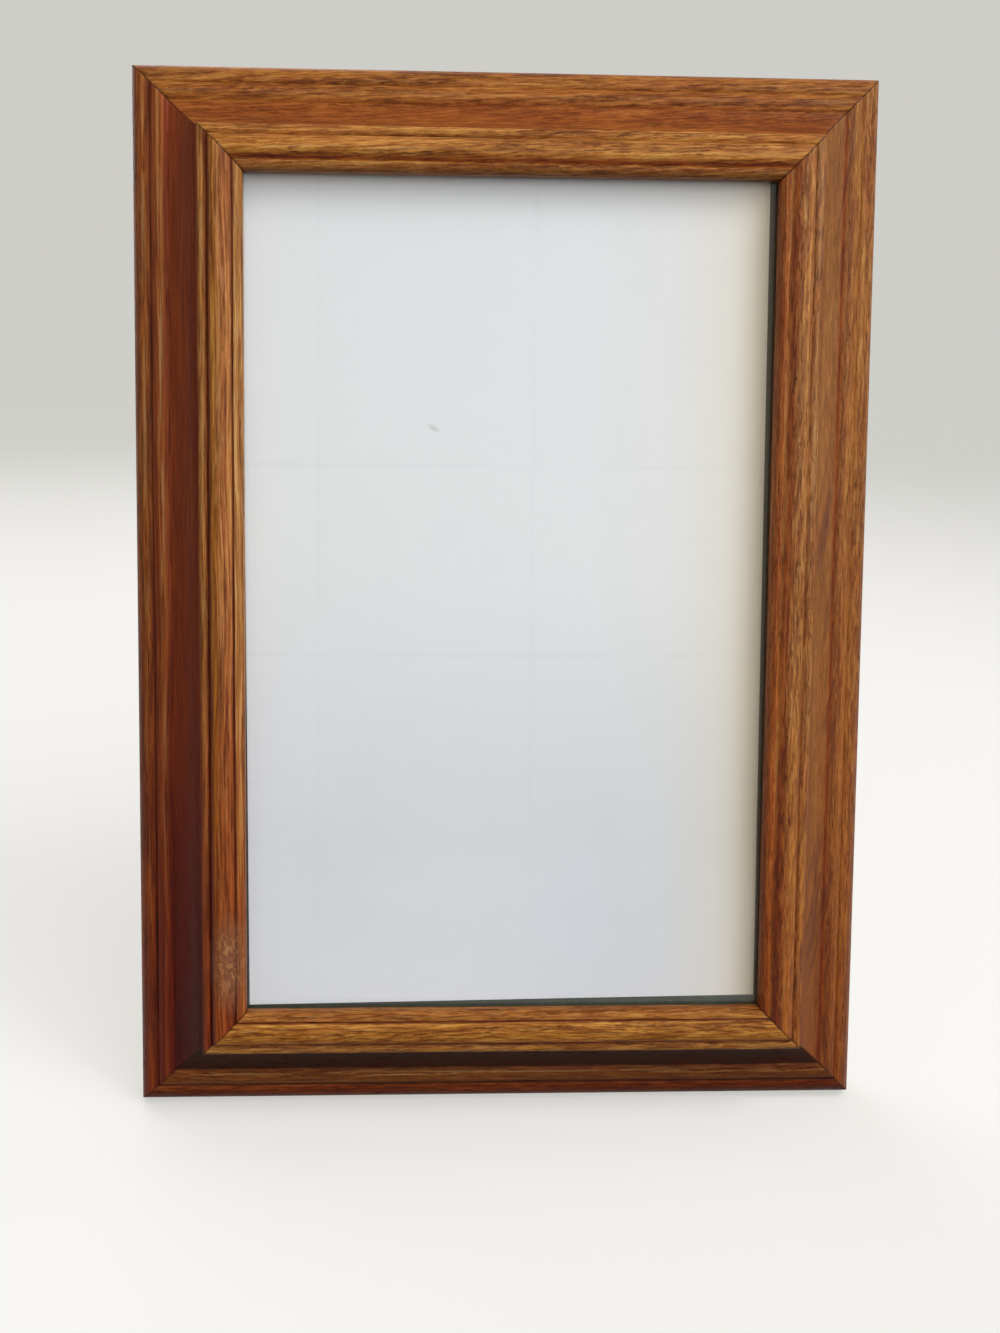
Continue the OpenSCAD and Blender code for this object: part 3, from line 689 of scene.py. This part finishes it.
def foldDepthAt(p, x, z):
    # how far the sheet's face lies back at a place, in millimetres
    depth = 0.0
    for way, along, across in (("cross", x, z), ("long", z, x)):
        far, often, fading, shift = p[way + "Sway"]
        for middle, strength in p[way + "Folds"]:
            line = middle + far * sin(along * often + middle)
            fade = 0.65 + 0.35 * sin(along * fading + middle * shift)
            depth += strength * fade * exp(-(((across - line) / p["foldWidth"]) ** 2))
    wave = 0.12 * sin(x * 0.07 + 1) * sin(z * 0.05 + 2)
    return p["foldDepth"] * min(1.0, max(0.0, depth + 0.12 + wave))


def sheetMesh(p):
    grid = bmesh.new()
    sides = [Vector(p[corner]) for corner in ("lowLeft", "lowRight", "highRight", "highLeft")]
    wide, high, face = p["columns"], p["rows"], p["face"]
    front, back = [], []
    for j in range(high + 1):
        left, right = sides[0].lerp(sides[3], j / high), sides[1].lerp(sides[2], j / high)
        frontRow, backRow = [], []
        for i in range(wide + 1):
            x, z = left.lerp(right, i / wide)
            y = face + foldDepthAt(p, x, z)
            frontRow.append(grid.verts.new((x * mm, y * mm, z * mm)))
            backRow.append(grid.verts.new((x * mm, (face + p["thickness"]) * mm, z * mm)))
        front.append(frontRow)
        back.append(backRow)
    for j in range(high):
        for i in range(wide):
            grid.faces.new((front[j][i], front[j][i + 1], front[j + 1][i + 1], front[j + 1][i]))
            grid.faces.new((back[j][i], back[j + 1][i], back[j + 1][i + 1], back[j][i + 1]))
    rim = [(0, i) for i in range(wide)] + [(j, wide) for j in range(high)]
    rim += [(high, i) for i in range(wide, 0, -1)] + [(j, 0) for j in range(high, 0, -1)]
    for (j, i), (k, l) in zip(rim, rim[1:] + rim[:1]):
        grid.faces.new((front[j][i], back[j][i], back[k][l], front[k][l]))
    bmesh.ops.recalc_face_normals(grid, faces=grid.faces)
    return meshOf("pictureSheet", grid)


def paperMaterial(p):
    material, w, shader = newMaterial("whitePaper")
    place = objectPlace(w)
    across, _, up = w.parts(place)
    cloud = w.noise(place, 0.03, 4.0, 0.6)
    fibre = w.noise(place, 3.5, 3.0, 0.6)
    w.colour = w.ramp(cloud, p["cloud"])
    w.paint(w.between(fibre, 0.35, 0.7, 0.0, 0.1), p["fibre"])
    # painted shade: greyer towards the foot and most at the lower right, a little under the top,
    # in soft patches
    low = w.sum("ADD", w.between(up, 36, 98, 1.0, 0.0), w.between(cloud, 0.3, 0.7, -0.25, 0.25))
    low = w.sum("ADD", low, w.between(up, 105, 165, 0.0, 0.25))
    lowRight = w.times(w.between(up, 30, 90, 1.0, 0.0), w.between(across, -10, 40))
    low = w.sum("MULTIPLY_ADD", lowRight, 0.7, low)
    w.paint(w.times(low, 0.7, clamp=True), p["grey"])
    # painted shade and warm bounce light: a cream tint along the right edge, and a greenish tint
    # just under the top rail
    creamShadeTint = w.ramp(w.between(across, 14, 44), [(0.0, 0.0), (0.45, 0.1), (0.8, 0.4), (1.0, 1.0)])
    w.paint(w.times(creamShadeTint, 0.9), p["creamShadeTint"])
    w.paint(w.between(up, 159, 163, 0.0, 0.5), p["under"])
    # painted shade along the creases, in broken grey lines
    creases = [(up, height, strength) for height, strength in p["crossFolds"]]
    creases += [(across, side, strength) for side, strength in p["longFolds"]]
    broken = w.between(w.noise(place, 0.12, 2.0), 0.35, 0.6, 0.4, 1.0)
    for axis, line, strength in creases:
        creaseShade = w.between(w.off(axis, line), 0.1, 0.6, 0.1 * strength, 0.0)
        w.paint(w.times(creaseShade, broken), p["creaseShade"])
    # one small dark smudge
    x, z = p["mark"]
    spot = w.stretch(w.vector("SUBTRACT", place, (x, 0, z)), (1, 0, 1), turn=(0, -0.5, 0))
    spot = w.vector("MULTIPLY", spot, (0.8, 0, 2.2))
    smudge = w.between(w.vector("LENGTH", spot), 0.1, 1.2, 0.35, 0.0)
    w.paint(smudge, p["smudge"])
    rough = w.between(fibre, 0.3, 0.7, 0.78, 0.9)
    w.give(shader, {"Base Color": w.colour, "Roughness": rough, "Specular IOR Level": 0.2})
    bumped(w, shader, fibre, 0.02 * mm, 0.4)
    return material


pictureSheet = newObject("pictureSheet", sheetMesh(paper))
pictureSheet.data.transform(stand)
smoothed(pictureSheet, 30)
dress(pictureSheet, paperMaterial(paper))
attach(pictureSheet, "frame")
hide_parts("picture_sheet")
print("glass and sheet")


def softened(name, node, body, finish, edge, steps=3):
    # a copy of a plain cut piece with its edges eased
    shape = bmesh.new()
    shape.from_mesh(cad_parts[node].data)
    bmesh.ops.remove_doubles(shape, verts=shape.verts, dist=0.001 * mm)
    bmesh.ops.dissolve_limit(
        shape, angle_limit=radians(1), verts=shape.verts, edges=shape.edges
    )
    host = smoothed(newObject(name + "Host", meshOf(name + "Host", shape)))
    bevel = host.modifiers.new("easedEdges", "BEVEL")
    bevel.width = edge * mm
    bevel.segments = steps
    bevel.limit_method = "ANGLE"
    bevel.angle_limit = radians(40)
    bevel.harden_normals = True
    piece = asMesh(host, name)
    dress(piece, finish)
    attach(piece, body)
    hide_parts(node)
    return piece


def boardMaterial(name, b):
    material, w, shader = newMaterial(name)
    place = objectPlace(w)
    cloud = w.noise(place, 0.08 * b["scale"], 3.0)
    fibre = w.noise(w.stretch(place, (1.6, 1.6, 1.0)), 1.1 * b["scale"], 4.0, 0.65)
    mixed = w.sum("ADD", w.times(cloud, 0.4), w.times(fibre, 0.6))
    w.colour = w.ramp(mixed, list(zip((0.3, 0.5, 0.72), b["colours"])))
    dots = w.between(w.noise(place, 2.6 * b["scale"], 1.0), 0.64, 0.74)
    w.paint(w.times(dots, 0.6), b["fleck"])
    if "edge" in b:
        # painted warm bounce light: browner beyond a distance to the right, beside the wood
        beyond = w.between(w.parts(place)[0], *b["edge"], 0.0, 0.85)
        w.paint(beyond, b["edgeColour"])
    rubbed = w.noise(w.stretch(place, (0.9, 0.9, 0.14), turn=(0, 0.2, 0)), 1.0, 3.0, 0.7)
    rubbed = w.between(rubbed, 0.6, 0.72)
    w.paint(w.times(rubbed, b["rub"]), b["worn"])
    # single fibres, lying every way
    for turn, shade in ((0.5, "worn"), (-0.7, "fleck"), (1.5, "worn"), (2.2, "fleck")):
        strand = w.stretch(place, (2.2, 2.2, 0.3), turn=(0, turn, 0), move=(turn * 9, 0, 0))
        strand = w.between(w.noise(strand, 1.0, 1.0), 0.62, 0.7, 0.0, b["strands"])
        w.paint(strand, b[shade])
    rough = w.between(fibre, 0.3, 0.7, b["rough"] - 0.06, b["rough"] + 0.08)
    w.give(shader, {"Base Color": w.colour, "Roughness": rough})
    bumped(w, shader, fibre, b["depth"] * mm)
    return material


boards = {
    "hardboard": {
        "colours": [(88, 60, 38), (116, 82, 54), (142, 104, 70)], "fleck": (64, 42, 28),
        "worn": (164, 126, 88), "rub": 0.25, "strands": 0.45,
        "scale": 1.0, "rough": 0.5, "depth": 0.04,
    },
    "greenCard": {
        "colours": [(48, 56, 48), (58, 68, 58), (70, 80, 68)], "fleck": (92, 102, 88),
        "worn": (80, 88, 76), "rub": 0.1, "strands": 0.1,
        "scale": 1.8, "rough": 0.8, "depth": 0.02, "edge": (41, 44), "edgeColour": (98, 84, 56),
    },
    "brownBoard": {
        "colours": [(150, 116, 78), (172, 136, 94), (190, 154, 110)], "fleck": (120, 88, 58),
        "worn": (196, 164, 122), "rub": 0.2, "strands": 0.3,
        "scale": 1.4, "rough": 0.85, "depth": 0.03,
    },
}
hardboard = boardMaterial("brownHardboard", boards["hardboard"])
dress(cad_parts["backing_card"], boardMaterial("greenCard", boards["greenCard"]))
dress(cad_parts["filler_pad"], boardMaterial("brownBoard", boards["brownBoard"]))
softened("backPanel", "back_panel", "frame", hardboard, 0.25)
softened("strutBoard", "strut", "strut", hardboard, 0.4)
print("boards")


def metalMaterial(name, m):
    material, w, shader = newMaterial(name)
    place = objectPlace(w)
    tarnish = w.between(w.noise(place, 0.16, 4.0, 0.6), 0.42, 0.72)
    w.colour = w.blend(tarnish, m["colour"], m["dull"])
    specks = w.between(w.noise(place, 1.9, 2.0, 0.6), 0.63, 0.7)
    w.paint(w.times(specks, m["specks"]), m["dirt"])
    brushed = w.noise(w.stretch(place, (9, 9, 0.8)), 1.0, 3.0, 0.6)
    rough = w.sum("ADD", brushed, w.sum("ADD", tarnish, specks))
    rough = w.between(rough, 0.4, 1.8, m["rough"], m["rough"] + 0.25)
    w.give(shader, {"Base Color": w.colour, "Metallic": 1.0, "Roughness": rough})
    bumped(w, shader, w.less(brushed, specks), m["scratch"] * mm)
    return material


metals = {
    "brassedSteel": {
        "colour": (222, 188, 122), "dull": (186, 148, 92), "dirt": (92, 66, 38), "specks": 0.5,
        "rough": 0.26, "scratch": 0.012,
    },
    "zincSteel": {
        "colour": (198, 200, 204), "dull": (156, 158, 162), "dirt": (92, 90, 88), "specks": 0.4,
        "rough": 0.3, "scratch": 0.01,
    },
    "nailSteel": {
        "colour": (150, 150, 154), "dull": (98, 94, 92), "dirt": (96, 62, 42), "specks": 0.8,
        "rough": 0.4, "scratch": 0.015,
    },
}
brassed, zinc, nailSteel = [metalMaterial(name, m) for name, m in metals.items()]
dress(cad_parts["corner_nails"], nailSteel)
softened("hingeBracket", "hinge_bracket", "frame", brassed, 0.18)
softened("hangerStrap", "hanger_strap", "frame", brassed, 0.12)
softened("strutLeaf", "strut_leaf", "strut", brassed, 0.12)
softened("hingePin", "hinge_pin", "frame", zinc, 0.12)
for place in ("left_low", "left_high", "right_low", "right_high", "top", "bottom"):
    name = "turnButton" + place.title().replace("_", "")
    node = "turn_button_" + place
    softened(name, node, node, brassed, 0.16)
print("plates")


def turned(name, profile, around=40):
    # a turned shape about the y axis, from (radius, y) points in millimetres
    shape = bmesh.new()
    rings = []
    for radius, y in profile:
        angles = [2 * pi * i / around for i in range(around)] if radius else [0]
        rings.append([
            shape.verts.new((radius * mm * cos(a), y * mm, radius * mm * sin(a))) for a in angles
        ])
    for one, two in zip(rings, rings[1:]):
        for i in range(around):
            k = (i + 1) % around
            corners = [one[i % len(one)], one[k % len(one)], two[k % len(two)], two[i % len(two)]]
            shape.faces.new(list(dict.fromkeys(corners)))
    bmesh.ops.recalc_face_normals(shape, faces=shape.faces)
    return newObject(name, meshOf(name, shape))


def domed(radius, low, high, steps=7):
    # points of a low dome, from its rim to its middle
    angles = [pi / 2 * i / steps for i in range(steps)]
    return [(radius * cos(a), low + (high - low) * sin(a)) for a in angles] + [(0, high)]


screw = {
    "shank": 1.2, "length": 6.0, "tip": 1.6, "under": 1.3, "head": 2.4, "headHeight": 1.5,
    "rimShare": 0.42, "easing": 0.12, "slot": (0.6, 2.8, 0.8), "seed": 5,
    "slotTop": (1.25, 1.1), "slotFloor": (0.75, 0.62),  # shares of the slot's width and length
}
rivet = {
    "shank": 1.2, "head": 2.2, "headHeight": 0.9, "clinch": 1.9, "clinchHeight": 0.5, "hold": 3.0,
    "easing": 0.08, "rim": 0.25,
}


def screwShape(c):
    rim = c["under"] + c["headHeight"] * c["rimShare"]
    profile = [(0, -c["length"]), (c["shank"], c["tip"] - c["length"]), (c["shank"], c["under"])]
    profile += [(c["head"] - c["easing"], c["under"]), (c["head"], c["under"] + c["easing"])]
    profile += domed(c["head"], rim, c["under"] + c["headHeight"])
    shape = turned("screwShape", profile)
    wide, long, deep = [v * mm for v in c["slot"]]
    top = (c["under"] + c["headHeight"]) * mm
    cutters = []
    for turn in (0, pi / 2):
        # a cross slot, narrower and shorter at its floor
        cut = bmesh.new()
        bmesh.ops.create_cube(cut, size=1.0)
        for v in cut.verts:
            narrow, short = c["slotFloor"] if v.co.y < 0 else c["slotTop"]
            level = top + (deep if v.co.y > 0 else -deep)
            v.co = (v.co.x * long * short, level, v.co.z * wide * narrow)
        bmesh.ops.rotate(cut, verts=cut.verts, matrix=Matrix.Rotation(turn, 3, "Y"))
        cutters.append(newObject("crossSlot", meshOf("crossSlot", cut)))
        slotCut = shape.modifiers.new("crossSlot", "BOOLEAN")
        slotCut.object = cutters[-1]
        slotCut.solver = "EXACT"
    made = asMesh(shape, "screwShape")
    for cutter in cutters:
        bpy.data.objects.remove(cutter)
    return smoothed(made, 32)


def rivetShape(c, plate):
    hold, clinch, rim, head = -c["hold"], c["clinch"], c["rim"], c["head"]
    end = hold - c["clinchHeight"]
    profile = [(0, end), (clinch - rim, end), (clinch, hold - rim), (clinch, hold)]
    profile += [(c["shank"], hold), (c["shank"], plate)]
    profile += [(head - c["easing"], plate), (head, plate + c["easing"])]
    profile += domed(head, plate + rim, plate + c["headHeight"])
    return smoothed(turned("rivetShape", profile), 40)


def fastenerTree():
    # sets one shape on every point, tilted to its plate and turned at random
    tree, w, sockets = newTree("fastenersOnPoints", {
        "Shape": "Object", "Places": "Object", "Tilt": "Float", "Most Turn": "Float",
        "Seed": "Int", "Finish": "Material",
    })
    given = w.add("NodeGroupInput").outputs
    shape = w.add("GeometryNodeObjectInfo", {"Object": given["Shape"]})
    places = w.add("GeometryNodeObjectInfo", {"Object": given["Places"]})
    tilted = w.add("FunctionNodeEulerToRotation", {0: w.join(given["Tilt"], 0.0, 0.0)})
    setOut = w.add("GeometryNodeInstanceOnPoints", {
        "Points": places.outputs["Geometry"], "Instance": shape.outputs["Geometry"],
        "Rotation": tilted.outputs[0],
    })
    chance = w.add("FunctionNodeRandomValue", data_type="FLOAT")
    w.give(chance, {2: 0.0, 3: given["Most Turn"], "Seed": given["Seed"]})
    spun = w.add("FunctionNodeEulerToRotation", {0: w.join(0.0, chance.outputs[1], 0.0)})
    spin = w.add("GeometryNodeRotateInstances", {
        "Instances": setOut.outputs[0], "Rotation": spun.outputs[0], "Local Space": True,
    })
    real = w.add("GeometryNodeRealizeInstances", {0: spin.outputs[0]})
    finish = w.add("GeometryNodeSetMaterial", {0: real.outputs[0], "Material": given["Finish"]})
    w.add("NodeGroupOutput", {0: finish.outputs[0]})
    return tree, sockets


fastenerGroup, fastenerSockets = fastenerTree()


def fastened(name, node, body, shape, on, points, tilt, finish, mostTurn=0.0, seed=1):
    mesh = bpy.data.meshes.new(name + "Places")
    mesh.from_pydata([on @ (Vector(p) * mm) for p in points], [], [])
    places = newObject(name + "Places", mesh)
    piece = runTree(name, fastenerGroup, fastenerSockets, {
        "Shape": shape, "Places": places, "Tilt": tilt, "Most Turn": mostTurn,
        "Seed": seed, "Finish": finish,
    })
    bpy.data.objects.remove(places)
    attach(piece, body)
    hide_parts(node)
    return piece


# screws: along the side rails, along the bottom rail, in from the edge
spread, aside, screwIn = 45, 34, 6.2
halfWide, high = frameSize["width"] / 2, frameSize["height"]
screwPlaces = [(side * (halfWide - screwIn), 0, high / 2 + along)
               for side in (-1, 1) for along in (-spread, spread)]
screwPlaces += [(0, 0, high - screwIn), (aside, 0, screwIn)]
panelBack = -0.4
bracketPlaces = [(-5, panelBack, 120.5), (5, panelBack, 120.5)]
hangerPlaces = [(0, panelBack, 139.5)]
leafPlaces = [(0, -1.85, -7.92), (0, -1.85, -17.16)]  # from the pin, along the strut
screwHead = screwShape(screw)
bracketRivet, strapRivet = rivetShape(rivet, 1.0), rivetShape(rivet, 0.8)
fastened("buttonScrews", "button_screws", "frame", screwHead, stand, screwPlaces,
         -leanAngle, zinc, pi, screw["seed"])
fastened("bracketRivets", "bracket_rivets", "frame", bracketRivet, stand, bracketPlaces,
         -leanAngle, brassed)
fastened("hangerRivet", "hanger_rivet", "frame", strapRivet, stand, hangerPlaces,
         -leanAngle, brassed)
fastened("strutRivets", "strut_rivets", "strut", strapRivet, onPin, leafPlaces,
         strutOpen - leanAngle, brassed)
for shape in (screwHead, bracketRivet, strapRivet):
    bpy.data.objects.remove(shape)
print("screws and rivets")

# the wire ring: a bar in the strap's eye, two sides and a round bow
ring = {"radius": 6.0, "side": 6.0, "wire": 0.8, "corner": 1.3, "eye": (1.28, 146), "around": 18}


def ringPath(r):
    wide, side, corner = r["radius"], r["side"], r["corner"]
    flat = wide - corner
    quarter = [pi / 2 * i / 8 for i in range(9)]
    half = [pi * i / 32 for i in range(33)]
    points = [(flat + corner * sin(a), corner * cos(a) - corner) for a in quarter]
    points += [(wide, -corner - (side - corner) * i / 4) for i in range(1, 4)]
    points += [(wide * cos(a), -side - wide * sin(a)) for a in half]
    points += [(-wide, -side + (side - corner) * i / 4) for i in range(1, 4)]
    points += [(-flat - corner * cos(a), corner * sin(a) - corner) for a in quarter]
    return points


def ringMesh(r):
    path = [Vector((x, 0, z)) for x, z in ringPath(r)]
    back = Vector((0, 1, 0))
    around = r["around"]
    angles = [2 * pi * k / around for k in range(around)]
    tube = bmesh.new()
    rings = []
    for i, point in enumerate(path):
        side = (path[(i + 1) % len(path)] - path[i - 1]).normalized().cross(back)
        rings.append([
            tube.verts.new((point + r["wire"] * (side * cos(a) + back * sin(a))) * mm)
            for a in angles
        ])
    for one, two in zip(rings, rings[1:] + rings[:1]):
        for k in range(around):
            n = (k + 1) % around
            tube.faces.new((one[k], two[k], two[n], one[n]))
    bmesh.ops.recalc_face_normals(tube, faces=tube.faces)
    return meshOf("hangingRing", tube)


hangingRing = newObject("hangingRing", ringMesh(ring))
eyeY, eyeZ = ring["eye"]
hangingRing.data.transform(Matrix.Translation(stand @ (Vector((0, eyeY, eyeZ)) * mm)))
smoothed(hangingRing, 60)
dress(hangingRing, brassed)
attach(hangingRing, "ring")
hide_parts("hanging_ring")
print("ring")

# floor and light
studio = {
    "floorNear": (178, 177, 175), "floorFar": (24, 24, 24),
    "fade": (0.25, 0.95),  # metres out from the frame
    "glow": (186, 185, 181), "bounce": (56, 55, 54), "wall": (206, 205, 200),
    "fill": 0.34, "floorReach": 12.0, "aim": (0, 0, 0.09),
}
lamps = {
    "window": {"from": (0.45, -0.71, 0.54), "size": 1.3, "power": 10.0, "mirrored": False},
    "sheen": {"from": (0.62, -0.45, 0.95), "size": 0.3, "power": 2.0, "mirrored": True},
    "rear": {"from": (-0.45, 0.85, 0.5), "size": 0.9, "power": 5.0, "mirrored": True},
}


def paleOrBounce(w, seen, bounce):
    # camera and mirror rays meet the pale colour, the object's bounce light less
    path = w.add("ShaderNodeLightPath").outputs
    straight = w.sum("MAXIMUM", path["Is Camera Ray"], path["Is Glossy Ray"])
    straight = w.sum("MAXIMUM", straight, path["Is Transmission Ray"])
    return w.add("ShaderNodeMixShader", {0: straight, 1: bounce, 2: seen}).outputs[0]


floorMaterial, w, _ = newMaterial("paleFloor")
# the lit floor fades into the wall's own colour before it gets near the lamps
away = w.vector("LENGTH", w.add("ShaderNodeTexCoord").outputs["Object"])
away = w.ramp(w.between(away, *studio["fade"]), [(0.0, 0.0), (1.0, 1.0)], "EASE")
litColour = w.blend(away, studio["floorNear"], studio["floorFar"])
glowColour = w.blend(away, studio["glow"], studio["wall"])
lit = w.add("ShaderNodeBsdfDiffuse", {"Color": litColour})
glow = w.add("ShaderNodeEmission", {"Color": glowColour, "Strength": 1.0})
pale = w.add("ShaderNodeAddShader", {0: lit.outputs[0], 1: glow.outputs[0]})
dim = w.add("ShaderNodeBsdfDiffuse", {"Color": studio["bounce"]})
w.give(w.find("OUTPUT_MATERIAL"), {"Surface": paleOrBounce(w, pale.outputs[0], dim.outputs[0])})
floorMesh = bpy.data.meshes.new("floor")
far = studio["floorReach"]
floorCorners = [(-far, -far, 0), (far, -far, 0), (far, far, 0), (-far, far, 0)]
floorMesh.from_pydata(floorCorners, [], [(0, 1, 2, 3)])
floorMesh.materials.append(floorMaterial)
floor = newObject("floor", floorMesh)

world = bpy.data.worlds.new("studio")
scene.world = world
world.use_nodes = True
w = Wires(world.node_tree)
soft = w.add("ShaderNodeBackground", {"Color": (1, 1, 1, 1), "Strength": studio["fill"]})
seen = w.add("ShaderNodeBackground", {"Color": studio["wall"], "Strength": 1.0})
w.give(w.find("OUTPUT_WORLD"), {"Surface": paleOrBounce(w, seen.outputs[0], soft.outputs[0])})


def softLamp(name, l):
    lampData = bpy.data.lights.new(name, "AREA")
    lampData.energy = l["power"]
    lampData.size = l["size"]
    lamp = newObject(name, lampData)
    towards = Vector(l["from"]).normalized()
    lamp.location = towards + Vector(studio["aim"])
    lamp.rotation_euler = towards.to_track_quat("Z", "Y").to_euler()
    lamp.visible_glossy = lamp.visible_transmission = l["mirrored"]


for name, settings in lamps.items():
    softLamp(name, settings)
scene.view_settings.view_transform = "Standard"
print("floor and light")
